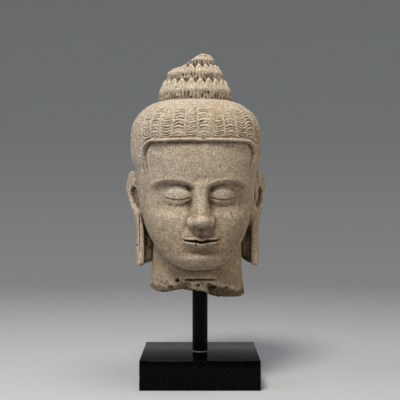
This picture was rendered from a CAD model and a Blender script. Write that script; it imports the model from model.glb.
"""Looks of a carved sandstone Buddha head on a round steel rod in a polished black block.

The stone is drawn in millimetres of a stone 317 high, from its lowest point: x to the viewer's right, y away
from the viewer, z up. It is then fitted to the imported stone's box. The face is a generic one on textbook
proportions.
"""

import math

import bpy
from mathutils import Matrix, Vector
from mathutils.bvhtree import BVHTree
import numpy as np


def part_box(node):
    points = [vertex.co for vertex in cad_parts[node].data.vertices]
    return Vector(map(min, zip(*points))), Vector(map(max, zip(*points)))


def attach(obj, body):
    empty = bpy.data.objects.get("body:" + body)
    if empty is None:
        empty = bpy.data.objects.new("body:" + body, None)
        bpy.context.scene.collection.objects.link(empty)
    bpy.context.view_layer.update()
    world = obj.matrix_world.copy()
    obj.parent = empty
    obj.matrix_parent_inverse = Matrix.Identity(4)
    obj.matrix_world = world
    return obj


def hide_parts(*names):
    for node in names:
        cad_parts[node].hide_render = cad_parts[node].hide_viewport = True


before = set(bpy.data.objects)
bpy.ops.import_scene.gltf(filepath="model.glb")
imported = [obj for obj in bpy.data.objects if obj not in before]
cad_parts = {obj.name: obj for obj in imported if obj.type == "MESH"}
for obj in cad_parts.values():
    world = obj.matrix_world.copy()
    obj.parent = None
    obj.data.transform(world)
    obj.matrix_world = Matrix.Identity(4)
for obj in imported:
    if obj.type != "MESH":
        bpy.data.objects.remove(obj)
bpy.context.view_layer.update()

# How finely the stone is worked, in millimetres, the triangles that are kept of it, and how much less the
# face, the hair and the petals are thinned.
SKIN_STEP = 0.9
VOXEL = 0.8
STONE_TRIANGLES = 192000
FINER_FACETS = 0.00002

# The rays that find sheltered stone, and how far they look, near and wide, in metres.
SHELTER_RAYS = 12
SHELTER_REACH = (0.006, 0.022)

# The stone's levels and sizes, in its own millimetres.
DRAWN_HEIGHT = 317.0
STONE_TURN = math.radians(4.5)
CHIN = 40.0
THIRD = 52.0
NOSE_BASE = CHIN + THIRD
BROW = CHIN + 2 * THIRD
HAIRLINE = CHIN + 3 * THIRD
EYE_LINE = BROW - THIRD / 4
MOUTH_LINE = NOSE_BASE - THIRD / 3
FACE_WIDTH = 140.0
EYE = FACE_WIDTH / 5
CAP_LEVEL = 205.0
CAP_RISE = 50.5
CAP_ROUNDNESS = 2.45
SECTION_ROUNDNESS = 2.35
HEAD_RADIUS = 85.0
HEAD_AXIS = 4.0

# Half width, front and back of the bare head at each height.
HEAD = [(36.5, 6, 58, -44), (38, 17, 66, -33), (42, 28, 73.5, -18), (50, 40, 79.5, 2), (62, 50.5, 82.5, 24)]
HEAD += [(76, 59.5, 84, 46), (92, 66.5, 84, 67), (110, 71.5, 83.5, 83), (131, 74.0, 84.5, 91)]
HEAD += [(152, 75.5, 87, 95), (166, 76.6, 88, 96.5), (178, 79.5, 88.5, 97), (CAP_LEVEL, 81.2, 88, 97)]
# The same of the neck.
NECK = [(-8, 63, 50, 66), (8, 62, 50, 66), (25, 60, 49, 64), (45, 59, 48, 62), (70, 58, 47, 62)]
NECK += [(100, 54, 44, 60)]
NECK_MIDDLE = 1.8
# The throat's crease: its middle, half its length and its height. The pit: its middle, height and size.
NECK_CREASE = (3.0, 24.0, 24.5)
NECK_PIT = (-27.2, 23.6, 2.3)
# Lower edge of the broken neck across the front, from left to right, and its level at the back.
NECK_BREAK = [(-64, 13), (-60, 11), (-55, 9.5), (-48, 8.5), (-39, 8.5), (-28, 10.5), (-14, 13.5), (-6, 11)]
NECK_BREAK += [(8, 8), (18, 2.5), (28, 0), (42, 0), (53, 0), (58, 0.8), (62, 4), (66, 10)]
NECK_BREAK_BACK = 7.0
# The break's facet at the viewer's right, how far it falls towards its end, and the rounded edge at the left.
FACET_HEIGHT = 16.5
FACET_FALL = 8.5
EDGE_ROUNDING = 6.5

# Hair: a cap of locks with a plain roll along its edge.
HAIR_FRONT = HAIRLINE + 1.4
HAIR_RISE = 4.2
ROLL_RISE = 1.5
ROLL_WIDTH = 3.9
HAIR_LOCKS = 38
HAIR_TURN = math.radians(2.4)
CURL_PAIRS = (9.4, 7.8)
CURL_SAG = 3.5
CURL_DEPTH = 1.65
CURL_WIDTH = 0.8
HAIR_CORNER = (56.5, 17.0)
HAIR_SIDE = [(75, 150), (80, 130), (89, 113), (102, 104), (124, 100), (150, 90), (190, 80), (268, 80)]
ROLL_CHIP = (3.5, 199.5, 3.0)

# Topknot: tiers of petals, each with its foot, its tips, its radius at both and its number of petals.
TOPKNOT_CENTRE = (-0.6, 4.0)
TOPKNOT_TURN = math.radians(4.8)
TIERS = [(254.0, 282.8, 50.6, 40.2, 22), (280.5, 302.0, 40.2, 29.8, 20), (300.5, 316.0, 28.2, 21.0, 14)]
PETAL_RISE = 2.4
PETAL_FOOT = 0.36
PETAL_SHOULDER = 0.58
STROKES_PER_PETAL = 3
TOPKNOT_BREAK = [(-48, 286), (-36, 293.5), (-32, 296), (-26, 297.8), (-19, 299.9), (-13, 303.6)]
TOPKNOT_BREAK += [(-7, 308.6), (-1, 312.8), (6, 316.4), (14, 317), (40, 317)]
TOPKNOT_BREAK_SLANT = 0.12

# Ear: a plate from its front edge outwards and back. A pair holds the lobe's value and the upper ear's.
EAR_SHIFT = 2.5
EAR_STEPS = 160
EAR_FLARE = (math.radians(20), math.radians(28))
EAR_THICKNESS = (9.0, 8.0)
EAR_FOOT = (73.0, 76.0)
EAR_FRONT = -10.0
EAR_LEAN = 0.06
LOBE_TOP = (85.0, 118.0)
# Height, then the ear's front and rear edges along the plate.
EAR_OUTLINE = [(39.2, 6, 9), (40.2, 3.5, 12.5), (44, 1.2, 16), (52, 0.3, 17.8), (62, 0, 17.5), (78, 0, 17.2)]
EAR_OUTLINE += [(90, 0, 17.4), (101, 0, 17.6), (115, -0.5, 21), (128, -1.5, 30), (141, -2, 35)]
EAR_OUTLINE += [(148, -1.5, 34), (154, 0.5, 31), (159, 4, 27.5), (162, 8, 23.5), (163.4, 12, 19)]
# The ear's hollow: its middle along the plate and up, half its width, and its reach above and below.
CONCHA = (11.5, 134.0, 10.5, 11.0, 23.0)
# The stone left between each lobe and the neck: its levels, its middle and half its width, its front and
# back, how far its foot rises from the lobe to the neck on each side, and its rows and columns.
WEB_LEVELS = (38, 136)
WEB_MIDDLE = 65.5
WEB_HALF_WIDTH = 12
WEB_FRONT = 2
WEB_BACK = 13
WEB_RISE = {-1: 4.0, 1: 8.0}
WEB_STEPS = (120, 96)

# The mount, in metres. The rod's diameter and the block come from the frame.
ROD_CHAMFER = 0.001
ROD_SIDES = 96
BEAD = 0.0011
BEAD_SIDES = 12
BLOCK_EDGE = 0.0008
CLEARANCE = 0.0003

# The camera's place and lens, worked out from the block's edges in the photograph, in metres and millimetres.
CAMERA_BACK = 1.211
CAMERA_HEIGHT = 0.239
LENS = 83.05
SENSOR = 36.0
CAMERA_TILT = math.radians(-0.19)


def eased(share):
    share = np.clip(share, 0, 1)
    return share * share * (3 - 2 * share)


def ramp(value, start, end):
    """0 before start, 1 after end, eased in between."""
    return eased((value - start) / (end - start))


def fade(value, start, end):
    """1 before start, 0 after end, eased in between."""
    return 1 - ramp(value, start, end)


def mound(x, z, centre, radii):
    return np.exp(-(((x - centre[0]) / radii[0]) ** 2) - ((z - centre[1]) / radii[1]) ** 2)


def line(distance, width):
    """1 on a line, fading over its width."""
    return np.exp(-((distance / width) ** 2))


def full_turn(steps):
    """Even angles all the way round."""
    return np.arange(steps) * 2 * math.pi / steps


def squarer(wave, power):
    """A sine or cosine flattened towards -1 and 1, which makes an oval section squarer."""
    return np.sign(wave) * np.abs(wave) ** power


def curve(at, stations, column=1):
    """A smooth curve through the stations' values in this column, read at these positions."""
    stations = np.asarray(stations, float)
    xs, ys = stations[:, 0], stations[:, column]
    slopes = np.gradient(ys, xs)
    i = np.clip(np.searchsorted(xs, at) - 1, 0, len(xs) - 2)
    width = xs[i + 1] - xs[i]
    t = np.clip((at - xs[i]) / width, 0, 1)
    rise = t * t * (3 - 2 * t)
    return (
        ys[i] * (1 - rise)
        + ys[i + 1] * rise
        + width * (slopes[i] * t * (1 - t) ** 2 - slopes[i + 1] * t * t * (1 - t))
    )


def roughness(points, size, seed):
    """Smooth random bumps of about this size, from -1 to 1, the same on each run."""
    lattice = np.random.default_rng(seed).uniform(-1, 1, (32, 32, 32))
    place = points / size
    corner = np.floor(place).astype(int)
    share = eased(place - corner)
    total = np.zeros(len(points))
    for step in np.ndindex(2, 2, 2):
        weight = np.prod(np.where(step, share, 1 - share), axis=1)
        at = (corner + step) % 32
        total += weight * lattice[at[:, 0], at[:, 1], at[:, 2]]
    return total


def bumps(points, *layers):
    """Random bumps of several kinds together: each layer is their height, their size and their seed."""
    return sum(height * roughness(points, size, seed) for height, size, seed in layers)


def skin(rings):
    """The points and faces of a closed skin over rings of (rows, columns, xyz), each end closed by a fan."""
    rows, columns = rings.shape[:2]
    index = np.arange(rows * columns).reshape(rows, columns)
    after = np.roll(index, -1, axis=1)
    sides = np.stack([index[:-1], after[:-1], after[1:], index[1:]], axis=-1).reshape(-1, 4)
    foot, top = rows * columns, rows * columns + 1
    foot_fan = np.stack([after[0], index[0], np.full(columns, foot)], axis=-1)
    top_fan = np.stack([index[-1], after[-1], np.full(columns, top)], axis=-1)
    ends = rings[[0, -1]].mean(axis=1)
    points = np.concatenate([rings.reshape(-1, 3), ends])
    return points, sides.tolist() + foot_fan.tolist() + top_fan.tolist()


def outward(rings):
    """The direction out of the skin at each point of its rings."""
    along = np.roll(rings, -1, axis=1) - np.roll(rings, 1, axis=1)
    up = np.gradient(rings, axis=0)
    normal = np.cross(along, up)
    return normal / np.maximum(np.linalg.norm(normal, axis=-1, keepdims=True), 1e-9)


def section(half_width, front, back, columns):
    """Rings of a rounded oval, from the front round to the viewer's right."""
    angle = full_turn(columns)
    depth = (front + back)[:, None] / 2
    across, along = np.abs(np.sin(angle)) / half_width[:, None], np.abs(np.cos(angle)) / depth
    radius = (across**SECTION_ROUNDNESS + along**SECTION_ROUNDNESS) ** (-1 / SECTION_ROUNDNESS)
    middle = (back - front)[:, None] / 2
    return radius * np.sin(angle), middle - radius * np.cos(angle)


def rings_of(heights, x, y):
    return np.stack([x, y, np.broadcast_to(heights[:, None], x.shape)], axis=-1)


def in_scene(name, data):
    """A new object of this data, in the scene."""
    made = bpy.data.objects.new(name, data)
    bpy.context.scene.collection.objects.link(made)
    return made


def mesh_object(name, points, faces):
    mesh = bpy.data.meshes.new(name)
    mesh.from_pydata(points, [], faces)
    return in_scene(name, mesh)


def baked(source):
    """The object's mesh with its modifiers, on an object of its own; the source is removed."""
    graph = bpy.context.evaluated_depsgraph_get()
    mesh = bpy.data.meshes.new_from_object(source.evaluated_get(graph))
    name = source.name
    bpy.data.objects.remove(source)
    return in_scene(name, mesh)


def finished(piece, material, sharp=None):
    """The piece in its material, shaded smooth but for edges that turn by more than this many degrees."""
    piece.data.materials.clear()
    piece.data.materials.append(material)
    piece.data.shade_smooth()
    if sharp:
        piece.data.set_sharp_from_angle(angle=math.radians(sharp))
    return piece


def add(tree, kind, inputs=None, **settings):
    """Adds a node with its settings; an input is a value or another node's output."""
    made = tree.nodes.new(kind)
    for name, value in settings.items():
        setattr(made, name, value)
    for socket, value in (inputs or {}).items():
        if isinstance(value, bpy.types.NodeSocket):
            tree.links.new(value, made.inputs[socket])
        else:
            made.inputs[socket].default_value = value
    return made


# The stone


def hair_edge():
    """The hair's edge as (distance round the head, height), from the middle of the forehead to the nape."""
    end, radius = HAIR_CORNER
    turn = np.linspace(math.pi / 2, 0, 9)
    corner = np.stack(
        [end + radius * np.cos(turn), HAIR_FRONT - radius + radius * np.sin(turn)], axis=-1
    )
    return np.concatenate([[(-10, HAIR_FRONT)], corner, HAIR_SIDE])


def inside_hair(points):
    """How far each point is inside the hair's edge, measured over the head, negative on the bare skin."""
    around = np.abs(np.arctan2(points[..., 0], HEAD_AXIS - points[..., 1])) * HEAD_RADIUS
    place = np.stack([around, points[..., 2]], axis=-1)
    nearest = np.full(around.shape, np.inf)
    signed = np.zeros(around.shape)
    edge = hair_edge()
    for start, end in zip(edge[:-1], edge[1:]):
        run = end - start
        offset = place - start
        share = np.clip((offset @ run) / (run @ run), 0, 1)
        away = np.linalg.norm(offset - share[..., None] * run, axis=-1)
        side = np.sign(run[0] * offset[..., 1] - run[1] * offset[..., 0])
        closer = away < nearest
        nearest = np.where(closer, away, nearest)
        signed = np.where(closer, away * side, signed)
    return signed


def hair_layer(inside, z):
    """Height of the hair over the skin: a step cut under at its foot, a rounded roll, and a groove behind it.
    Down the temples the roll thins out and the step flattens into a slope."""
    crisp = ramp(z, 150, 188)
    step = HAIR_RISE * ramp(inside, -0.8, 0.8 + 11 * (1 - crisp)) * (0.4 + 0.6 * ramp(z, 112, 188))
    under = 1.0 * line(inside + 1.3, 0.9)
    width = ROLL_WIDTH * (0.6 + 0.4 * crisp)
    roll = ROLL_RISE * ramp(inside, -0.6, 1.0) * fade(inside, width - 1.6, width + 0.4)
    groove = 1.7 * line(inside - width * 1.18, 0.8)
    return step + (roll - groove - under) * ramp(z, 138, 184)


def nose_relief(x, z):
    """The nose over the face, without its nostrils."""
    bridge = [(NOSE_BASE - 2, 8), (NOSE_BASE + 3, 15), (NOSE_BASE + 8, 18), (NOSE_BASE + 14, 17)]
    bridge += [(NOSE_BASE + 24, 13.5), (NOSE_BASE + 36, 9), (NOSE_BASE + 48, 4.5), (NOSE_BASE + 60, 0)]
    half_width = [(NOSE_BASE - 2, 9), (NOSE_BASE + 8, 11), (NOSE_BASE + 20, 9), (NOSE_BASE + 38, 8)]
    half_width += [(NOSE_BASE + 56, 13)]
    width = curve(z, half_width)
    ridge = curve(z, bridge) * fade(x, width * 0.2, width * 1.7)
    wing_away = np.hypot((x - EYE * 0.37) / 7.0, (z - NOSE_BASE - 6.5) / 7.6)
    wing = 12.5 * np.sqrt(np.clip(1 - wing_away**2, 0, 1))
    tip_away = np.hypot(x / 11.5, (z - NOSE_BASE - 7.5) / 9.5)
    tip = 18.5 * np.clip(1 - tip_away**2, 0, 1) ** 0.6
    joined = (ridge**3 + wing**3 + tip**3) ** (1 / 3)
    return joined * ramp(z, NOSE_BASE - 3.0, NOSE_BASE + 2.4)


def brow_height(x):
    """The brow's arch over each eye."""
    return BROW - 5.5 + 12 * np.sin(math.pi * np.clip((x + 3) / 80, 0, 1))


def lash_height(x):
    """The closed lid's edge, lowest in its middle, for a calm downward look."""
    return EYE_LINE - 5.5 + 3.2 * ((x - EYE) / (EYE * 0.55)) ** 2


def eye_relief(x, z):
    below_brow = brow_height(x) - z
    socket = ramp(below_brow, -0.8, 6.5) * ramp(z, EYE_LINE - 27, EYE_LINE - 8)
    socket = 7.0 * socket * ramp(x, 2, 16) * fade(x, 50, 68)
    arris = 1.1 * line(below_brow + 0.9, 1.7) * ramp(x, 6, 18) * fade(x, 50, 64)
    ball_away = np.hypot((x - EYE) / (EYE * 0.62), (z - EYE_LINE) / 12.5)
    ball = 6.4 * np.clip(1 - ball_away**2, 0, 1) ** 0.7
    return arris + ball - socket


def mouth_height(x):
    """The line between the lips."""
    return MOUTH_LINE + 1.7 * (x / (EYE * 0.8)) ** 2 - 0.9 * line(x, 5)


def lips_relief(x, z):
    half = EYE * 0.84
    fullness = np.clip(1 - (x / half) ** 2, 0, 1)
    over = z - mouth_height(x)
    upper_height = 6.6 * fullness**0.55 - 1.2 * line(x, 3)
    lower_height = 8.6 * fullness**0.6
    upper = np.clip(over / np.maximum(upper_height, 0.1), 0, 1)
    lower = np.clip(-over / np.maximum(lower_height, 0.1), 0, 1)
    upper_lip = 4.2 * fullness**0.5 * np.sin(math.pi * upper**0.75)
    lower_lip = 6.0 * fullness**0.5 * np.sin(math.pi * lower**0.8)
    return np.where(over > 0, upper_lip, lower_lip)


def face_relief(x, z):
    """How far the face stands forward of the bare head, at a distance x from its middle line."""
    muzzle = 5.5 * mound(x, z, (0, MOUTH_LINE + 4), (31, 19))
    chin = 5.5 * mound(x, z, (0, CHIN + 12), (18, 11))
    under_lip = -3.2 * mound(x, z, (0, MOUTH_LINE - 13), (19, 4.5))
    cheek = 3.2 * mound(x, z, (41, NOSE_BASE + 7), (18, 18))
    forehead = 1.8 * mound(x, z, (0, BROW + 26), (45, 26))
    fold_at = 17 + (NOSE_BASE + 8 - z) * 0.48
    fold = -0.9 * line(x - fold_at, 3.2) * ramp(z, MOUTH_LINE, MOUTH_LINE + 8)
    fold = fold * fade(z, NOSE_BASE + 6, NOSE_BASE + 16)
    nose = nose_relief(x, z)
    eyes = eye_relief(x, z) * fade(nose, 1, 9)
    philtrum = -1.0 * line(x, 2.4) * ramp(z, MOUTH_LINE + 4, MOUTH_LINE + 8)
    philtrum = philtrum * fade(z, NOSE_BASE - 4, NOSE_BASE)
    return muzzle + chin + under_lip + cheek + forehead + fold + nose + eyes + philtrum + lips_relief(x, z)


def head_and_hair():
    """The bare head from the chin to the crown, with the face and the layer of hair on it."""
    columns = round(2 * math.pi * HEAD_RADIUS / SKIN_STEP)
    heights = np.arange(HEAD[0][0], CAP_LEVEL, SKIN_STEP)
    sizes = [curve(heights, HEAD, column) for column in (1, 2, 3)]
    rise = np.linspace(0, math.pi / 2, round(0.5 * math.pi * HEAD_RADIUS / SKIN_STEP))[:-1]
    reach = (np.cos(rise) ** CAP_ROUNDNESS + np.sin(rise) ** CAP_ROUNDNESS) ** (-1 / CAP_ROUNDNESS)
    _, half_width, front, back = HEAD[-1]
    middle = (back - front) / 2
    depth = (back + front) / 2
    inward = reach * np.cos(rise)
    heights = np.concatenate([heights, CAP_LEVEL + CAP_RISE * reach * np.sin(rise)])
    sizes[0] = np.concatenate([sizes[0], half_width * inward])
    sizes[1] = np.concatenate([sizes[1], depth * inward - middle])
    sizes[2] = np.concatenate([sizes[2], depth * inward + middle])
    rings = rings_of(heights, *section(*sizes, columns))
    uneven = bumps(rings.reshape(-1, 3), (1, 11, 61), (0.6, 4, 62))
    inside = inside_hair(rings) + 0.3 * uneven.reshape(rings.shape[:2])
    relief = face_relief(np.abs(rings[..., 0]), rings[..., 2])
    relief = relief * (rings[..., 1] < 0) * fade(inside, -3, 0)
    rings = rings + outward(rings) * hair_layer(inside, rings[..., 2])[..., None]
    rings[..., 1] -= relief
    return skin(rings)


def tier_radius(share, foot_radius, tip_radius):
    """Radius of a tier at a share of its height."""
    return foot_radius + (tip_radius - foot_radius) * share**1.6


def from_topknot(points):
    """Distance of each point from the topknot's middle, seen from above."""
    return np.hypot(points[:, 0] - TOPKNOT_CENTRE[0], points[:, 1] - TOPKNOT_CENTRE[1])


def topknot_break(points):
    """Height of the sloping break at the topknot's upper left, over each point."""
    return curve(points[..., 0] + TOPKNOT_BREAK_SLANT * points[..., 1], TOPKNOT_BREAK)


def below_break(points):
    """The points brought down to the topknot's break."""
    top = topknot_break(points)
    chips = bumps(points.reshape(-1, 3), (0.7, 5, 11), (0.3, 2.2, 12)).reshape(top.shape)
    points[..., 2] = np.minimum(points[..., 2], np.minimum(top + chips, DRAWN_HEIGHT))
    return points


def topknot_core():
    """The topknot's stepped body, fluted below each tier's petals, with a worn round top."""
    columns = round(2 * math.pi * TIERS[0][2] / SKIN_STEP)
    heights = np.arange(TIERS[0][0] - 12, DRAWN_HEIGHT, SKIN_STEP * 0.8)
    angle, z = np.meshgrid(full_turn(columns), heights)
    crown = np.clip((DRAWN_HEIGHT - z) / (DRAWN_HEIGHT - TIERS[-1][1]), 0, 1)
    radius = TIERS[-1][3] * np.sqrt(np.clip(crown * (2 - crown), 0.02, 1))
    around = np.stack([40 * np.sin(angle), 40 * np.cos(angle), z], axis=-1).reshape(-1, 3)
    uneven = roughness(around, 3.5, 13).reshape(z.shape)
    for foot, tips, foot_radius, tip_radius, petals in reversed(TIERS):
        share = np.clip((z - foot) / (tips - foot), 0, 1)
        turn = (angle - TOPKNOT_TURN + 0.035 * uneven) * petals * STROKES_PER_PETAL / (2 * math.pi)
        flute = (0.5 - 0.5 * np.cos(2 * math.pi * turn)) ** 0.9 * np.clip(0.95 + 0.7 * uneven, 0.2, 1.3)
        below_petals = fade(share + 0.05 * uneven, PETAL_FOOT - 0.02, PETAL_FOOT + 0.1)
        wall = tier_radius(share, foot_radius, tip_radius) - PETAL_RISE * (1 - below_petals)
        wall = wall - (0.7 + 3.0 * flute) * below_petals * ramp(z, foot - 3.8, foot - 2.8)
        under_tips = fade(z, tips - 8.4, tips - 6.6)
        radius = radius + np.maximum(wall - radius, 0) * under_tips
    x = TOPKNOT_CENTRE[0] + radius * np.sin(angle)
    y = TOPKNOT_CENTRE[1] - radius * np.cos(angle)
    return skin(below_break(np.stack([x, y, z], axis=-1)))


def petal(tier):
    """One petal at the front of its tier: a pointed leaf with a raised rim and an inner arch."""
    foot, tips, foot_radius, tip_radius, petals = tier
    across = np.linspace(-1, 1, 17)
    rows = np.linspace(PETAL_FOOT, 1, 24)
    tip_share = np.clip((rows[:, None] - PETAL_SHOULDER) / (1 - PETAL_SHOULDER), 0, 1)
    width = 0.98 * (1 - np.minimum(tip_share[:, 0], 0.985) ** 2.1)
    outline = np.abs(across)[None, :]
    leaf = np.maximum(outline, tip_share)
    relief = 0.7 * line(leaf - 0.78, 0.2) - 0.8 * line(leaf - 0.42, 0.2) + 0.4 * line(leaf, 0.22)
    outer = tier_radius(rows, foot_radius, tip_radius)[:, None] + relief - 1.7 * outline**6
    outer = outer - 1.4 * fade(rows[:, None], PETAL_FOOT, PETAL_FOOT + 0.14)
    inner = np.broadcast_to(tier_radius(rows, foot_radius, tip_radius)[:, None] - 6, (len(rows), 5))
    turn = math.pi / petals * width[:, None]
    back = np.linspace(1, -1, 5)
    angle = np.concatenate([across * turn, back * turn], axis=1)
    radius = np.concatenate([outer, inner], axis=1)
    height = foot + (tips - foot) * rows
    return skin(rings_of(height, radius * np.sin(angle), -radius * np.cos(angle)))


def ring_of_copies():
    """A node tree that turns one piece into a ring of uneven copies about the z axis."""
    tree = bpy.data.node_groups.new("ring_of_petals", "GeometryNodeTree")
    kinds = {"Petal": "Geometry", "Copies": "Int", "First turn": "Float", "Uneven turn": "Float"}
    sockets = {}
    for name, kind in (kinds | {"Stone": "Material"}).items():
        sockets[name] = tree.interface.new_socket(name, in_out="INPUT", socket_type="NodeSocket" + kind)
    tree.interface.new_socket("Ring", in_out="OUTPUT", socket_type="NodeSocketGeometry")
    given = add(tree, "NodeGroupInput").outputs
    points = add(tree, "GeometryNodePoints", {"Count": given["Copies"]})
    index = add(tree, "GeometryNodeInputIndex")
    step = add(tree, "ShaderNodeMath", {0: 2 * math.pi, 1: given["Copies"]}, operation="DIVIDE")
    chance = add(tree, "FunctionNodeRandomValue", {"Min": -1.0, "Max": 1.0, "Seed": 7}, data_type="FLOAT")
    slip = {0: chance.outputs[1], 1: given["Uneven turn"], 2: given["First turn"]}
    slip = add(tree, "ShaderNodeMath", slip, operation="MULTIPLY_ADD")
    turn = {0: index.outputs[0], 1: step.outputs[0], 2: slip.outputs[0]}
    turn = add(tree, "ShaderNodeMath", turn, operation="MULTIPLY_ADD")
    about = add(tree, "ShaderNodeCombineXYZ", {"Z": turn.outputs[0]})
    copies = {"Points": points.outputs[0], "Instance": given["Petal"], "Rotation": about.outputs[0]}
    copies = add(tree, "GeometryNodeInstanceOnPoints", copies)
    real = add(tree, "GeometryNodeRealizeInstances", {"Geometry": copies.outputs[0]})
    finish = add(tree, "GeometryNodeSetMaterial", {"Geometry": real.outputs[0], "Material": given["Stone"]})
    add(tree, "NodeGroupOutput", {0: finish.outputs[0]})
    return tree, sockets


def petal_rings(sandstone):
    """All the topknot's petals, tier by tier, as one closed mass of overlapping leaves."""
    tree, sockets = ring_of_copies()
    masses = []
    for tier in TIERS:
        leaf = mesh_object("petals", *petal(tier))
        ring = leaf.modifiers.new("ring", "NODES")
        ring.node_group = tree
        values = {"Copies": tier[4], "First turn": TOPKNOT_TURN, "Uneven turn": 0.02, "Stone": sandstone}
        for name, value in values.items():
            ring[sockets[name].identifier] = value
        leaves = baked(leaf)
        points = read(leaves.data, leaves.data.vertices, "co")
        points[:, :2] += TOPKNOT_CENTRE
        masses.append((below_break(points), [list(face.vertices) for face in leaves.data.polygons]))
        bpy.data.objects.remove(leaves)
    return masses


def neck():
    """The neck down to its rough break, which is cut back under the front."""
    columns = round(2 * math.pi * NECK[0][1] / SKIN_STEP)
    heights = np.arange(NECK[0][0], NECK[-1][0], SKIN_STEP)
    rings = rings_of(heights, *section(*[curve(heights, NECK, column) for column in (1, 2, 3)], columns))
    inward = np.linspace(0.02, 1, round(NECK[0][1] / SKIN_STEP))[:, None, None]
    centre = rings[0].mean(axis=0)
    rings = np.concatenate([centre + (rings[:1] - centre) * inward, rings[1:]])
    flat = rings.reshape(-1, 3)
    flat[:, 0] += NECK_MIDDLE
    front = curve(flat[:, 0], NECK_BREAK)
    back = NECK_BREAK_BACK + 2.5 * roughness(flat, 22, 3)
    back = back + 6 * ramp(-flat[:, 0], 40, 62) - 5 * ramp(flat[:, 0], 25, 50)
    level = front + (back - front) * ramp(flat[:, 1], -35, 10)
    level = level + bumps(flat, (0.7, 7, 4), (0.4, 3, 5)) * ramp(flat[:, 1], -52, -40)
    flat[:, 2] = np.maximum(flat[:, 2], np.maximum(level, 0))
    return skin(flat.reshape(rings.shape))


def by_height(z, values):
    """From the lobe's value to the upper ear's, over the narrow part between them."""
    return values[0] + (values[1] - values[0]) * ramp(z, *LOBE_TOP)


def ear_plate(z, along, out, side):
    """Points of an ear from their place on its plate: height, distance back along it and outwards from it."""
    flare = by_height(z, EAR_FLARE)
    x = by_height(z, EAR_FOOT) + along * np.sin(flare) + out * np.cos(flare)
    y = EAR_FRONT + EAR_LEAN * (z - EAR_OUTLINE[0][0]) + along * np.cos(flare) - out * np.sin(flare)
    return np.stack([side * x + EAR_SHIFT, y, z + np.zeros_like(x)], axis=-1)


def concha(along, z):
    """The ear's hollow, from 0 at its edge to 1 on its floor."""
    over = z - CONCHA[1]
    centre = CONCHA[0] - 9.0 * ramp(-over, 0, 24)
    away = np.hypot((along - centre) / CONCHA[2], over / np.where(over > 0, CONCHA[3], CONCHA[4]))
    return fade(away, 0.66, 1.0)


def in_ears(points):
    """The share of each ear's hollow at each point of the stone."""
    x, y, z = points.T
    across = np.abs(x - EAR_SHIFT) - EAR_FOOT[1]
    back = y - EAR_FRONT - EAR_LEAN * (z - EAR_OUTLINE[0][0])
    cos, sin = math.cos(EAR_FLARE[1]), math.sin(EAR_FLARE[1])
    out = across * cos - back * sin
    return concha(across * sin + back * cos, z) * ramp(out, -3.5, -2) * fade(out, 2.2, 3.6)


def ear_relief(along, z):
    """Depth of the ear's hollow and of the lines inside its rim, below its outer face."""
    rear = curve(z, EAR_OUTLINE, 2)
    hollow = 5.0 * concha(along, z)
    fold = 4.5 * line(along - 4.5, 1.7) * ramp(z, 142, 147) * fade(z, 156, 161)
    rim_line = 1.5 * line(along - rear + 2.6, 0.9) * ramp(z, 50, 60) * fade(z, 146, 152)
    return np.maximum(hollow, np.maximum(rim_line, fold))


def ear(side):
    """One long-lobed ear; side is 1 at the viewer's right and -1 at the left."""
    heights = np.arange(EAR_OUTLINE[0][0], EAR_OUTLINE[-1][0], SKIN_STEP * 0.8)
    angle = full_turn(EAR_STEPS)
    front, rear = (curve(heights, EAR_OUTLINE, column)[:, None] for column in (1, 2))
    thick = by_height(heights, EAR_THICKNESS)[:, None] / 2 * np.minimum(1, np.sqrt((rear - front) / 9))
    along = (front + rear) / 2 + (rear - front) / 2 * squarer(np.cos(angle), 0.6)
    out = thick * squarer(np.sin(angle), 0.7)
    z = np.broadcast_to(heights[:, None], along.shape)
    cut = ear_relief(along, z) * ramp(out / thick, 0.2, 0.8)
    rings = ear_plate(z, along, out - cut, side)
    return skin(rings if side > 0 else rings[:, ::-1])


def ear_web(side):
    """The rough stone left standing between an ear's lobe and the neck."""
    rows, columns = WEB_STEPS
    heights = np.linspace(*WEB_LEVELS, rows)
    angle, z = full_turn(columns), heights[:, None]
    narrower = 5 * ramp(z, 92, 112) if side < 0 else 3.5 * ramp(z, 112, 132)
    x = WEB_MIDDLE + (WEB_HALF_WIDTH - narrower) * squarer(np.sin(angle), 0.6)
    # Above the recess the web comes forward to close the gap between the ear and the cheek.
    front = WEB_FRONT - 13 * (ramp(z, 84, 124) if side < 0 else ramp(z, 74, 116))
    y = (WEB_BACK + front) / 2 - (WEB_BACK - front) / 2 * squarer(np.cos(angle), 0.6)
    foot = 41.0 + WEB_RISE[side] * (np.clip(74 - x, 0, 30) / 15) ** 2
    rings = rings_of(heights, side * x + EAR_SHIFT, y)
    rings[..., 2] = np.maximum(rings[..., 2], foot)
    return skin(rings if side > 0 else rings[:, ::-1])


def fused(masses, voxel):
    """The overlapping masses as one skin of even squares."""
    points, faces, first = [], [], 0
    for mass_points, mass_faces in masses:
        points.append(mass_points)
        faces += [[first + corner for corner in face] for face in mass_faces]
        first += len(mass_points)
    source = mesh_object("carved_head", np.concatenate(points), faces)
    remesh = source.modifiers.new("one_stone", "REMESH")
    remesh.mode = "VOXEL"
    remesh.voxel_size = voxel
    return baked(source)


def read(mesh, collection, name):
    values = np.empty(len(collection) * 3, np.float32)
    collection.foreach_get(name, values)
    return values.reshape(-1, 3).astype(float)


def place_points(mesh, points):
    mesh.vertices.foreach_set("co", points.ravel())
    mesh.update()


def store(mesh, name, values):
    """Keeps a value at each point for the material to read."""
    layer = mesh.attributes.new(name, "FLOAT", "POINT")
    layer.data.foreach_set("value", values.astype(np.float32))


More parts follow.
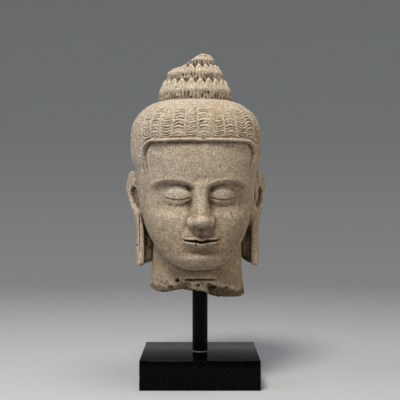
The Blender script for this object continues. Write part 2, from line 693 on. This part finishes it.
def softened(mesh, points, rounds):
    """The points moved half the way to the middle of their neighbours, this many times."""
    edges = np.empty(len(mesh.edges) * 2, np.int32)
    mesh.edges.foreach_get("vertices", edges)
    ends = np.concatenate([edges.reshape(-1, 2), edges.reshape(-1, 2)[:, ::-1]])
    count = np.bincount(ends[:, 0], minlength=len(points))[:, None]
    for _ in range(rounds):
        sums = [np.bincount(ends[:, 0], points[ends[:, 1], axis], len(points)) for axis in range(3)]
        points = points + 0.5 * (np.stack(sums, axis=-1) / count - points)
    return points


def lock_place(points):
    """(lock number, place across it from -1 to 1) of each point of the hair, with one near the middle.
    The locks at the viewer's right are a little wider."""
    angle = np.arctan2(points[:, 0], HEAD_AXIS - points[:, 1]) - HAIR_TURN
    angle = angle - 0.065 * np.sin(np.clip(angle, 0, math.pi))
    turn = angle * HAIR_LOCKS / (2 * math.pi)
    number = np.round(turn)
    return number, 2 * (turn - number)


def up_the_hair(points):
    """Distance of each point up the hair, over the curve of the cap above its widest level."""
    across = np.hypot(points[:, 0], points[:, 1] - HEAD_AXIS)
    over = np.arctan2((points[:, 2] - CAP_LEVEL) * HEAD_RADIUS / CAP_RISE, across)
    return np.where(over > 0, CAP_LEVEL + 70 * over, points[:, 2])


def hair_carving(points, inside):
    """Depth of the locks' curls: pairs of arcs, turned up in one lock and down in the next, partly worn."""
    number, place = lock_place(points)
    even = number % 2 == 0
    hand = bumps(points, (0.7, 9, 21), (0.5, 4, 22))
    up = up_the_hair(points) + hand
    bend = np.where(even, 1, -1) * CURL_SAG * (1 - place**2)
    pair = np.where(even, *CURL_PAIRS)
    row = (up - HAIR_FRONT - bend) / pair + 0.13 * np.sin(number * 5.1)
    row = row - np.floor(row)
    second = 0.8 + 0.5 * roughness(points, 6, 26)
    arcs = np.maximum(line((row - 0.27) * pair, CURL_WIDTH), second * line((row - 0.70) * pair, CURL_WIDTH))
    pad = 0.5 * (line((row - 0.98) * pair, 1.6) + line((row + 0.02) * pair, 1.6))
    across = np.abs(place) + 0.03 * roughness(points, 4, 23)
    on_curl = fade(across, 0.74, 0.83)
    half_lock = HEAD_RADIUS * math.pi / HAIR_LOCKS
    parting = 0.7 * line((across - 0.83) * half_lock, 0.5) - 0.35 * ramp(across, 0.86, 0.92)
    worn_left, worn_right = ramp(-number, 4.4, 6.6), ramp(number, 3.6, 6.0)
    worn = 0.85 * worn_left + 0.75 * worn_right - 0.4 * ramp(np.abs(number), 8, 11)
    patchy = np.clip(0.9 + 0.5 * roughness(points, 13, 24), 0.3, 1.2)
    kept = (1 - worn) * (1 - 0.9 * ramp(up, 240, 268)) * patchy
    streaks = roughness(points * (1, 1, 0.35), 2.4, 25) + 0.6 * roughness(points * (1, 1, 0.2), 1.4, 27)
    streaks = 0.45 * streaks * (0.25 + worn)
    on_hair = ramp(inside, ROLL_WIDTH + 1.3, ROLL_WIDTH + 2.3)
    x, y, z = points.T
    near_ear = ramp(np.abs(x - EAR_SHIFT), 68, 74) * fade(z, 158, 168) * fade(y, 26, 36)
    away = from_topknot(points)
    on_topknot = (away < TIERS[0][2] + 3) & (z > TIERS[0][0] - 4)
    where = on_hair * (1 - near_ear) * (1 - on_topknot)
    worn_side = 0.4 * roughness(points, 2.4, 28) * on_hair * near_ear
    seat = 2.4 * line(away - TIERS[0][2] - 1.5, 2.6) * (z > 240) * (z < TIERS[0][0] + 3)
    return where * (kept * (on_curl * (CURL_DEPTH * arcs - pad) + parting - 0.3) + streaks) + worn_side + seat


def face_lines(points):
    """Depth of the face's fine lines: the lids' edges and creases, the line of the mouth and its corners."""
    x, y, z = points.T
    x, front = np.abs(x), y < -45
    within = fade(np.abs(x - EYE), EYE * 0.5, EYE * 0.58)
    lash = 1.4 * line(z - lash_height(x), 0.8) * within
    lid_edge = -0.5 * line(z - lash_height(x) - 2.0, 1.0) * within
    crease_at = EYE_LINE + 9.5 - 5.5 * ((x - EYE) / (EYE * 0.6)) ** 2
    crease = 0.8 * line(z - crease_at, 0.8) * within
    mouth = 2.1 * line(z - mouth_height(x), 0.9) * fade(x, EYE * 0.76, EYE * 0.86)
    corner = 2.0 * mound(x, z, (EYE * 0.8, mouth_height(EYE * 0.8)), (2.6, 2.2))
    return front * (lash + lid_edge + crease + mouth + corner)


def nostrils(points):
    """How far up the stone is hollowed under each side of the nose."""
    x, y, z = points.T
    away = np.hypot((np.abs(x) - EYE * 0.25) / 3.8, (y + 95.0) / 4.4)
    return 3.6 * np.clip(1 - away**2, 0, 1) * fade(z, NOSE_BASE + 1, NOSE_BASE + 4)


def facet_edge(x):
    """Height of the break's facet at the viewer's right above the neck's lower edge."""
    return FACET_HEIGHT - FACET_FALL * ramp(x, 26, 60)


def neck_carving(points):
    """Depth of the crease across the throat, of a round pit beside it and of the rough break below."""
    x, y, z = points.T
    front = ramp(-y, 25, 40) * (z < CHIN - 4)
    middle, half, height = NECK_CREASE
    across = fade(np.abs(x - middle), half - 10, half)
    wave = 0.5 * roughness(points, 9, 31)
    crease = (3.8 - 0.045 * (x + 20)) * line(z - height - wave, 1.2) * across
    lip = -0.3 * line(z - height - wave + 3.0, 1.6) * across
    pit_x, pit_z, pit_size = NECK_PIT
    pit = 4.5 * mound(x, z, (pit_x, pit_z), (pit_size, pit_size))
    above = z - curve(x, NECK_BREAK)
    facet = np.clip(facet_edge(x) + 1.2 * roughness(points, 12, 32) - above, 0, 14.5) * ramp(x, 6, 22)
    inside = np.clip(EDGE_ROUNDING - above, 0, EDGE_ROUNDING)
    rounding = EDGE_ROUNDING - np.sqrt(np.clip(EDGE_ROUNDING**2 - inside**2, 0, None))
    rounding = rounding * fade(x, 6, 22)
    grit = bumps(points, (1.0, 7, 33), (0.6, 2.6, 34), (0.3, 1.5, 35))
    rough = fade(above, 6, 20) * grit * (1 - 0.75 * ramp(x, 8, 20))
    flaked = ramp(-x, 28, 34) * fade(z - 30 + 0.8 * (x + 50), -3, 4)
    flaked = flaked * (0.9 + 0.9 * roughness(points, 6, 37))
    lumps = 2.2 * mound(x, z, (3, height - 8), (13, 4.0)) * ramp(roughness(points, 3.6, 36), -0.1, 0.5)
    return front * (crease + lip + pit + lumps + flaked + facet + rounding) + rough * (z < CHIN)


def web_carving(points, normals):
    """Depth of the chisel's rough bite in the recess between each lobe and the neck."""
    x, y, z = points.T
    across = np.abs(x - EAR_SHIFT)
    recess = ramp(across, 57, 60) * fade(across, 66, 72) * (z < 104) * ramp(-normals[:, 1], 0.3, 0.7)
    recess = recess * ramp(y, -4, -1) * fade(y, 9, 13)
    bite = 2.2 + 1.2 * roughness(points * (1, 1, 0.6), 6, 38) + 0.5 * roughness(points, 2.6, 39)
    return recess * bite


def lobe_slits(points):
    """Depth of the long slit down the front of each lobe, plainer at the viewer's right."""
    x, y, z = points.T
    across = (x - EAR_SHIFT) * np.where(x < 0, -1, 1)
    depth = np.where(x < 0, 3.2, 1.2) * ramp(-y, -2, 2)
    return depth * line(across - 77.0 - 0.4 * ramp(z, 85, 108), 0.9) * ramp(z, 54, 66) * fade(z, 102, 110)


def weather(points, inside):
    """Small unevenness of the whole worn surface, and a few shallow chips."""
    waves = bumps(points, (0.28, 9, 41), (0.14, 3.4, 42), (0.1, 1.7, 43))
    chip = np.clip(roughness(points, 5.5, 44) * roughness(points, 21, 45) - 0.42, 0, 1) * 5
    x, z, size = ROLL_CHIP
    roll_chip = 3.0 * mound(points[:, 0], points[:, 2], (x, z), (size, 1.6)) * (points[:, 1] < -60)
    return waves + chip + roll_chip * ramp(inside, -1, 1)


def carve(stone):
    """Moves the joined stone's surface in by the depth of its fine carving and its wear."""
    mesh = stone.data
    points = softened(mesh, read(mesh, mesh.vertices, "co"), 2)
    place_points(mesh, points)
    normals = read(mesh, mesh.vertex_normals, "vector")
    inside = inside_hair(points)
    inside = np.where(points[:, 2] > CAP_LEVEL, 60, inside)
    depth = hair_carving(points, inside) + face_lines(points) + neck_carving(points) + weather(points, inside)
    depth = depth + web_carving(points, normals) + lobe_slits(points)
    lift = nostrils(points) * ramp(-normals[:, 2], 0.35, 0.6)
    points = points - normals * depth[:, None]
    points[:, 2] = np.clip(points[:, 2] + lift, 0, DRAWN_HEIGHT)
    place_points(mesh, points)


def fit_to_frame(mesh, node):
    """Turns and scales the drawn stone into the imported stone's box."""
    low, high = (np.array(corner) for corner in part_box(node))
    points = read(mesh, mesh.vertices, "co")
    cos, sin = math.cos(STONE_TURN), math.sin(STONE_TURN)
    x, y = points[:, 0].copy(), points[:, 1].copy()
    points[:, 0], points[:, 1] = x * cos - y * sin, x * sin + y * cos
    points *= (high[2] - low[2]) / np.ptp(points[:, 2])
    middle = (points.max(axis=0) + points.min(axis=0)) / 2
    points += (low + high) / 2 - middle
    place_points(mesh, points)


def in_strokes(points):
    """The share of the band of strokes under each tier's petals at each point of the stone."""
    away, z = from_topknot(points), points[:, 2]
    total = np.zeros(len(points))
    for foot, tips, foot_radius, _, _ in TIERS:
        leaf_foot = foot + PETAL_FOOT * (tips - foot)
        band = ramp(z, foot - 3, foot) * fade(z, leaf_foot - 1, leaf_foot + 1)
        total = np.maximum(total, band * ramp(foot_radius - away, -0.2, 0.5) * (away > foot_radius - 9))
    return total


def keep_breaks(mesh):
    """Stores where the stone is broken rather than carved, under the neck and on the topknot's slope, and
    where brown earth has stayed: on the neck's lower edge and facet, under the chin, in the ears' hollows and
    the topknot's strokes, and thinly on the stone at the viewer's right."""
    points = read(mesh, mesh.vertices, "co")
    x, y, z = points.T
    uneven = 2.5 * roughness(points, 7, 51)
    neck_end = curve(x, NECK_BREAK)
    neck_end = neck_end + (NECK_BREAK_BACK - neck_end) * ramp(y, -35, 10)
    under = fade(z - neck_end + uneven, 8, 13)
    snapped = ramp(z - topknot_break(points) + 0.5 * uneven, -2.5, -0.8) * (x < TOPKNOT_BREAK[-3][0])
    store(mesh, "broken", np.maximum(under, snapped))
    above = z - neck_end + 0.4 * uneven
    edge = ramp(x, 4, 22) * fade(above - facet_edge(x), -2, 1.5)
    edge = np.maximum(edge, 0.9 * ramp(-x, 8, 16) * fade(above, 5.5, 9.5))
    chin = 0.4 * ramp(z, 21, 33) * fade(z, 37, 40) * fade(np.abs(x - 3), 22, 46)
    tanned = ramp(-y, 40, 60) * ramp(z, 38, 46) * fade(z, 128, 150)
    tanned = tanned * ramp(x, -25, 25) * (0.28 + 0.1 * roughness(points, 14, 52))
    strokes = 0.6 * in_strokes(points) * (1 + 0.6 * roughness(points, 5, 53))
    earth = np.maximum(edge, chin) * ramp(-y, -16, 4)
    for share in (0.5 * in_ears(points), tanned, strokes):
        earth = np.maximum(earth, share)
    store(mesh, "earth", earth)


def mark_thinning(stone):
    """Marks how much each point is thinned: less on the hair's curls, the petals and the face."""
    points = read(stone.data, stone.data.vertices, "co")
    x, y, z = points.T
    fine = (y < -40) & ((z > BROW) | (np.abs(x) < 62)) | (z > TIERS[0][0])
    group = stone.vertex_groups.new(name="thinning")
    group.add(np.arange(len(points)).tolist(), 1.0, "REPLACE")
    group.add(np.flatnonzero(fine).tolist(), 0.5, "REPLACE")


def rod_radius():
    low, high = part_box("mounting_rod")
    return (high[0] - low[0]) / 2


def thinned_and_drilled(stone):
    """Fewer triangles, and the blind hole for the rod."""
    thin = stone.modifiers.new("fewer_facets", "DECIMATE")
    thin.ratio = STONE_TRIANGLES / (2 * len(stone.data.polygons))
    thin.vertex_group = "thinning"
    thin.vertex_group_factor = FINER_FACETS
    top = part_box("mounting_rod")[1][2] + CLEARANCE
    hole = mesh_object("rod_hole", *bar(rod_radius() + CLEARANCE, 0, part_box("base_block")[1][2], top))
    cut = stone.modifiers.new("rod_hole", "BOOLEAN")
    cut.operation = "DIFFERENCE"
    cut.object = hole
    drilled = baked(stone)
    bpy.data.objects.remove(hole)
    return drilled


def keep_relief(stone):
    """Stores how far each point stands out of its surroundings, near and wide, for dirt and wear."""
    mesh = stone.data
    points = read(mesh, mesh.vertices, "co") * 1000
    normals = read(mesh, mesh.vertex_normals, "vector")
    near = softened(mesh, points, 6)
    wide = softened(mesh, near, 40)
    for name, smooth in (("near_relief", near), ("wide_relief", wide)):
        height = np.einsum("ij,ij->i", points - smooth, normals)
        store(mesh, name, softened(mesh, np.repeat(height[:, None], 3, axis=1), 1)[:, 0])


def keep_shelter(stone):
    """Stores how closed in each point is, near and wide, from 0 in the open to 1, for the dirt that stays."""
    mesh = stone.data
    points = read(mesh, mesh.vertices, "co")
    normals = read(mesh, mesh.vertex_normals, "vector")
    tree = BVHTree.FromPolygons(points.tolist(), [list(face.vertices) for face in mesh.polygons])
    across = np.cross(normals, np.where(np.abs(normals[:, 2:]) > 0.9, (1.0, 0.0, 0.0), (0.0, 0.0, 1.0)))
    across /= np.linalg.norm(across, axis=1, keepdims=True)
    along = np.cross(normals, across)
    starts = (points + normals * 0.0004).tolist()
    closed = np.zeros((len(points), 3))
    for number in range(SHELTER_RAYS):
        share = (number + 0.5) / SHELTER_RAYS
        turn = number * math.pi * (3 - math.sqrt(5))
        ways = across * math.cos(turn) + along * math.sin(turn)
        ways = (ways * math.sqrt(share) + normals * math.sqrt(1 - share)).tolist()
        away = [tree.ray_cast(start, way, SHELTER_REACH[1])[3] or 1.0 for start, way in zip(starts, ways)]
        for column, reach in enumerate(SHELTER_REACH):
            closed[:, column] += (np.array(away) < reach) / SHELTER_RAYS
    closed = softened(mesh, closed, 2)
    store(mesh, "nook", closed[:, 0])
    store(mesh, "shelter", closed[:, 1])


def carved_head(sandstone):
    masses = [head_and_hair(), topknot_core(), neck()] + petal_rings(sandstone)
    masses += [make(side) for side in (-1, 1) for make in (ear, ear_web)]
    stone = fused(masses, VOXEL)
    carve(stone)
    mark_thinning(stone)
    keep_breaks(stone.data)
    fit_to_frame(stone.data, "stone_head")
    stone = thinned_and_drilled(stone)
    keep_relief(stone)
    keep_shelter(stone)
    return finished(stone, sandstone)


# The mount


def bar(radius, chamfer, foot, top):
    """A round bar along z with chamfered ends."""
    turn = full_turn(ROD_SIDES)
    end = radius - chamfer
    rows = [(foot, end), (foot + chamfer, radius), (top - chamfer, radius), (top, end)]
    rings = [np.stack([r * np.cos(turn), r * np.sin(turn), np.full(ROD_SIDES, z)], axis=-1) for z, r in rows]
    return skin(np.array(rings if chamfer else rings[1:3]))


def rod(black_paint):
    """The steel bar."""
    low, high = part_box("mounting_rod")
    made = mesh_object("painted_rod", *bar(rod_radius(), ROD_CHAMFER, low[2], high[2]))
    return finished(made, black_paint, 30)


def bead(sealant):
    """The thin bead of sealant round the rod where it enters the block."""
    round_rod, round_bead = full_turn(ROD_SIDES)[:, None], full_turn(BEAD_SIDES)
    reach = rod_radius() + CLEARANCE / 2 + BEAD * 0.4 + BEAD * np.cos(round_bead)
    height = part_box("base_block")[1][2] + BEAD * 0.2 + BEAD * 0.8 * np.sin(round_bead) + 0 * round_rod
    rings = np.stack([reach * np.cos(round_rod), reach * np.sin(round_rod), height], axis=-1)
    index = np.arange(ROD_SIDES * BEAD_SIDES).reshape(ROD_SIDES, BEAD_SIDES)
    right, up = np.roll(index, -1, axis=0), np.roll(index, -1, axis=1)
    faces = np.stack([index, right, np.roll(right, -1, axis=1), up], axis=-1).reshape(-1, 4)
    return finished(mesh_object("sealant_bead", rings.reshape(-1, 3), faces.tolist()), sealant)


def block(black_stone):
    """The square block with finely eased edges."""
    low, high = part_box("base_block")
    corners = [(x, y, z) for z in (low[2], high[2]) for x, y in
               ((low[0], low[1]), (high[0], low[1]), (high[0], high[1]), (low[0], high[1]))]
    sides = [(i, (i + 1) % 4, 4 + (i + 1) % 4, 4 + i) for i in range(4)]
    made = mesh_object("polished_block", corners, [(3, 2, 1, 0), (4, 5, 6, 7)] + sides)
    edge = made.modifiers.new("eased_edges", "BEVEL")
    edge.width = BLOCK_EDGE
    edge.segments = 3
    return finished(baked(made), black_stone, 50)


# Materials


def colour(sheet):
    """An sRGB hex value as a linear colour."""
    parts = [int(sheet[i : i + 2], 16) / 255 for i in (1, 3, 5)]
    return tuple(p / 12.92 if p <= 0.04045 else ((p + 0.055) / 1.055) ** 2.4 for p in parts) + (1.0,)


def new_material(name, constants):
    """A material, its nodes, its shader with these constants on its sockets, and the object's coordinates."""
    made = bpy.data.materials.new(name)
    made.use_nodes = True
    tree = made.node_tree
    shader = tree.nodes["Principled BSDF"]
    for socket, value in constants.items():
        shader.inputs[socket].default_value = value
    return made, tree, shader, add(tree, "ShaderNodeTexCoord").outputs["Object"]


def weathered_sandstone():
    """Fine-grained sandstone, carved by hand and long weathered: dead matte, speckled with its grain, in
    patches of grey and ochre, paler where it is rubbed and brown with old dirt in its hollows and grooves."""
    matte = {"Roughness": 0.95, "Specular IOR Level": 0.25}
    made, tree, shader, place = new_material("weathered_sandstone", matte)
    kept = {}
    for name in ("near_relief", "wide_relief", "broken", "earth", "shelter", "nook"):
        kept[name] = add(tree, "ShaderNodeAttribute", attribute_name=name).outputs["Fac"]
    level = add(tree, "ShaderNodeSeparateXYZ", {"Vector": place}).outputs["Z"]
    facing = add(tree, "ShaderNodeNewGeometry").outputs["Normal"]
    facing = add(tree, "ShaderNodeSeparateXYZ", {"Vector": facing}).outputs["Z"]
    # Sand grains drawn 1.2 mm across, twice their real size, so that they show at all.
    grain = add(tree, "ShaderNodeTexVoronoi", {"Vector": place, "Scale": 1 / 0.0012})
    grain = add(tree, "ShaderNodeSeparateColor", {"Color": grain.outputs["Color"]}).outputs[0]
    noise = {}
    sizes = (("specks", 0.0022, 3), ("mottling", 0.012, 3), ("patches", 0.05, 4), ("stains", 0.03, 5))
    for name, size, detail in sizes:
        shift = add(tree, "ShaderNodeMapping", {"Vector": place, "Location": (size * 7, size * 3, 0)})
        cloud = {"Vector": shift.outputs[0], "Scale": 1 / size, "Detail": detail}
        noise[name] = add(tree, "ShaderNodeTexNoise", cloud).outputs["Fac"]
    # Earth has stained the stone browner towards the neck.
    uneven = {0: noise["patches"], 1: 0.25, 2: level}
    uneven = add(tree, "ShaderNodeMath", uneven, operation="MULTIPLY_ADD").outputs[0]
    tint = colour("#bbac98")
    # What each layer of colour follows, where it starts and is full, its colour and how much of it there is.
    layers = [
        (uneven, 0.40, 0.29, "#977e5f", 0.7),
        (noise["patches"], 0.45, 0.65, "#a69171", 0.45),
        (noise["mottling"], 0.58, 0.75, "#94836b", 0.35),
        (noise["stains"], 0.60, 0.72, "#7d705e", 0.4),
        (kept["broken"], 0.0, 1.0, "#a48c7a", 0.45),
        (kept["near_relief"], 0.06, 0.35, "#d3c6b2", 0.6),
        (kept["wide_relief"], -0.4, -2.4, "#6d583d", 0.45),
        (facing, -0.35, -0.9, "#5a4a35", 0.4),
        (kept["earth"], 0.0, 1.0, "#4b3b25", 0.78),
        (kept["near_relief"], -0.08, -0.5, "#3b2d1e", 0.75),
        (kept["nook"], 0.12, 0.5, "#3d2f20", 0.8),
        (kept["shelter"], 0.35, 0.9, "#3a2d1e", 0.8),
    ]
    for source, start, full, tone, most in layers:
        share = {"Value": source, "From Min": start, "From Max": full, "To Max": most}
        share = add(tree, "ShaderNodeMapRange", share)
        mix = add(tree, "ShaderNodeMix", {0: share.outputs[0], 6: tint, 7: colour(tone)}, data_type="RGBA")
        tint = mix.outputs[2]
    for source, most in ((grain, 0.38), (noise["specks"], 0.26)):
        speckle = {0: most, 6: tint, 7: source}
        tint = add(tree, "ShaderNodeMix", speckle, data_type="RGBA", blend_type="OVERLAY").outputs[2]
    tree.links.new(tint, shader.inputs["Base Color"])
    height = add(tree, "ShaderNodeMath", {0: noise["specks"], 1: 1.6, 2: grain}, operation="MULTIPLY_ADD")
    bump = add(tree, "ShaderNodeBump", {"Height": height.outputs[0], "Distance": 0.00022, "Strength": 1.0})
    tree.links.new(bump.outputs[0], shader.inputs["Normal"])
    return made


def satin_black_paint():
    """Black paint sprayed on steel bar: satin, with the faint orange peel that sprayed paint keeps."""
    sprayed = {"Base Color": colour("#060606"), "Specular IOR Level": 0.09}
    made, tree, shader, place = new_material("satin_black_paint_on_steel", sprayed)
    peel = add(tree, "ShaderNodeTexNoise", {"Vector": place, "Scale": 1 / 0.0016, "Detail": 1.0})
    bump = add(tree, "ShaderNodeBump", {"Height": peel.outputs["Fac"], "Distance": 0.00003, "Strength": 1.0})
    tree.links.new(bump.outputs[0], shader.inputs["Normal"])
    rub = add(tree, "ShaderNodeTexNoise", {"Vector": place, "Scale": 1 / 0.02, "Detail": 4.0})
    gloss = add(tree, "ShaderNodeMapRange", {"Value": rub.outputs["Fac"], "To Min": 0.33, "To Max": 0.5})
    tree.links.new(gloss.outputs[0], shader.inputs["Roughness"])
    return made


def clear_sealant():
    """A thin bead of greyish sealant, wiped round by hand: smooth and a little glossy."""
    made, tree, shader, place = new_material("wiped_sealant", {"Roughness": 0.45})
    dust = add(tree, "ShaderNodeTexNoise", {"Vector": place, "Scale": 1 / 0.003, "Detail": 2.0})
    tones = {0: dust.outputs["Fac"], 6: colour("#3f4145"), 7: colour("#85878c")}
    mix = add(tree, "ShaderNodeMix", tones, data_type="RGBA")
    tree.links.new(mix.outputs[2], shader.inputs["Base Color"])
    return made


def polished_black_granite():
    """Fine black granite, sawn and polished: mirror-smooth, with scattered grey mineral specks."""
    made, tree, shader, place = new_material("polished_black_granite", {"Specular IOR Level": 0.07})
    # Minerals drawn 1.3 mm across, so that the few pale ones show.
    mineral = add(tree, "ShaderNodeTexVoronoi", {"Vector": place, "Scale": 1 / 0.0013})
    kind = add(tree, "ShaderNodeSeparateColor", {"Color": mineral.outputs["Color"]}).outputs[0]
    pale = add(tree, "ShaderNodeMapRange", {"Value": kind, "From Min": 0.93, "From Max": 1.0})
    tones = {0: pale.outputs[0], 6: colour("#020203"), 7: colour("#19191c")}
    mix = add(tree, "ShaderNodeMix", tones, data_type="RGBA")
    tree.links.new(mix.outputs[2], shader.inputs["Base Color"])
    haze = add(tree, "ShaderNodeTexNoise", {"Vector": place, "Scale": 1 / 0.025, "Detail": 3.0})
    gloss = add(tree, "ShaderNodeMapRange", {"Value": haze.outputs["Fac"], "To Min": 0.06, "To Max": 0.16})
    tree.links.new(gloss.outputs[0], shader.inputs["Roughness"])
    return made


# The studio, in metres: a round sheet of pale paper that sweeps up behind the stone, lights and the camera.

PAPER_RADIUS = 2.7
SWEEP_RADIUS = 1.4
PAPER_HEIGHT = 2.6
PAPER_SIDES = 128


def studio_paper():
    """Matte seamless paper, pale on the floor and shaded to grey up the sweep."""
    dull = {"Roughness": 1.0, "Specular IOR Level": 0.0}
    made, tree, shader, place = new_material("matte_studio_paper", dull)
    level = add(tree, "ShaderNodeSeparateXYZ", {"Vector": place}).outputs["Z"]
    up = add(tree, "ShaderNodeMapRange", {"Value": level, "From Min": 0.0, "From Max": 0.5})
    tones = {0: up.outputs[0], 6: colour("#c6c7c9"), 7: colour("#b1b6b7")}
    mix = add(tree, "ShaderNodeMix", tones, data_type="RGBA")
    tree.links.new(mix.outputs[2], shader.inputs["Base Color"])
    return made


def seamless_sheet():
    """The floor and the wall in one turned sheet, with its faces to the inside."""
    bend = np.linspace(0, math.pi / 2, 25)
    flat = PAPER_RADIUS - SWEEP_RADIUS
    radius = np.concatenate([[flat / 2], flat + SWEEP_RADIUS * np.sin(bend), [PAPER_RADIUS]])
    height = np.concatenate([[0], SWEEP_RADIUS * (1 - np.cos(bend)), [PAPER_HEIGHT]])
    turn = full_turn(PAPER_SIDES)
    x, y = radius[:, None] * np.cos(turn), radius[:, None] * np.sin(turn)
    rows, columns = x.shape
    index = np.arange(rows * columns).reshape(rows, columns)
    after = np.roll(index, -1, axis=1)
    sides = np.stack([index[:-1], index[1:], after[1:], after[:-1]], axis=-1).reshape(-1, 4)
    points = rings_of(height, x, y).reshape(-1, 3)
    sheet = mesh_object("seamless_paper", points, sides.tolist() + [index[0].tolist()])
    finished(sheet, studio_paper())


def soft_light(name, place, target, size, power, tone):
    data = bpy.data.lights.new(name, "AREA")
    data.shape = "DISK"
    data.size = size
    data.energy = power
    data.color = colour(tone)[:3]
    light = in_scene(name, data)
    light.location = place
    light.rotation_euler = (Vector(target) - Vector(place)).to_track_quat("-Z", "Y").to_euler()


def studio():
    seamless_sheet()
    middle = (0, 0, 0.27)
    soft_light("key_light", (-0.28, -0.85, 1.55), middle, 0.5, 22.5, "#fffaf2")
    soft_light("side_light", (-1.3, -0.35, 0.9), middle, 0.8, 4.5, "#dfe6ff")
    soft_light("fill_light", (1.5, -0.45, 0.6), middle, 1.0, 3.4, "#ffdfb8")
    soft_light("top_light", (0.2, -0.15, 1.6), middle, 0.6, 4.5, "#f6f8ff")
    world = bpy.data.worlds.new("studio_air")
    world.use_nodes = True
    air = world.node_tree.nodes["Background"]
    air.inputs["Color"].default_value = colour("#b9bcc2")
    air.inputs["Strength"].default_value = 0.27
    bpy.context.scene.world = world


def camera():
    data = bpy.data.cameras.new("camera")
    data.sensor_width = SENSOR
    data.lens = LENS
    made = in_scene("camera", data)
    made.location = (0, -CAMERA_BACK, CAMERA_HEIGHT)
    made.rotation_euler = (math.pi / 2 + CAMERA_TILT, 0, 0)
    bpy.context.scene.camera = made
    bpy.context.scene.view_settings.view_transform = "Standard"


def hand_over(piece, slot, *nodes):
    """Makes a finished piece ride on the object's one body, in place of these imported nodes."""
    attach(piece, "root")
    if nodes:
        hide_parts(*nodes)


hand_over(carved_head(weathered_sandstone()), "sandstone", "stone_head")
hand_over(rod(satin_black_paint()), "black_steel", "mounting_rod")
hand_over(bead(clear_sealant()), "black_steel")
hand_over(block(polished_black_granite()), "black_stone", "base_block")
studio()
camera()
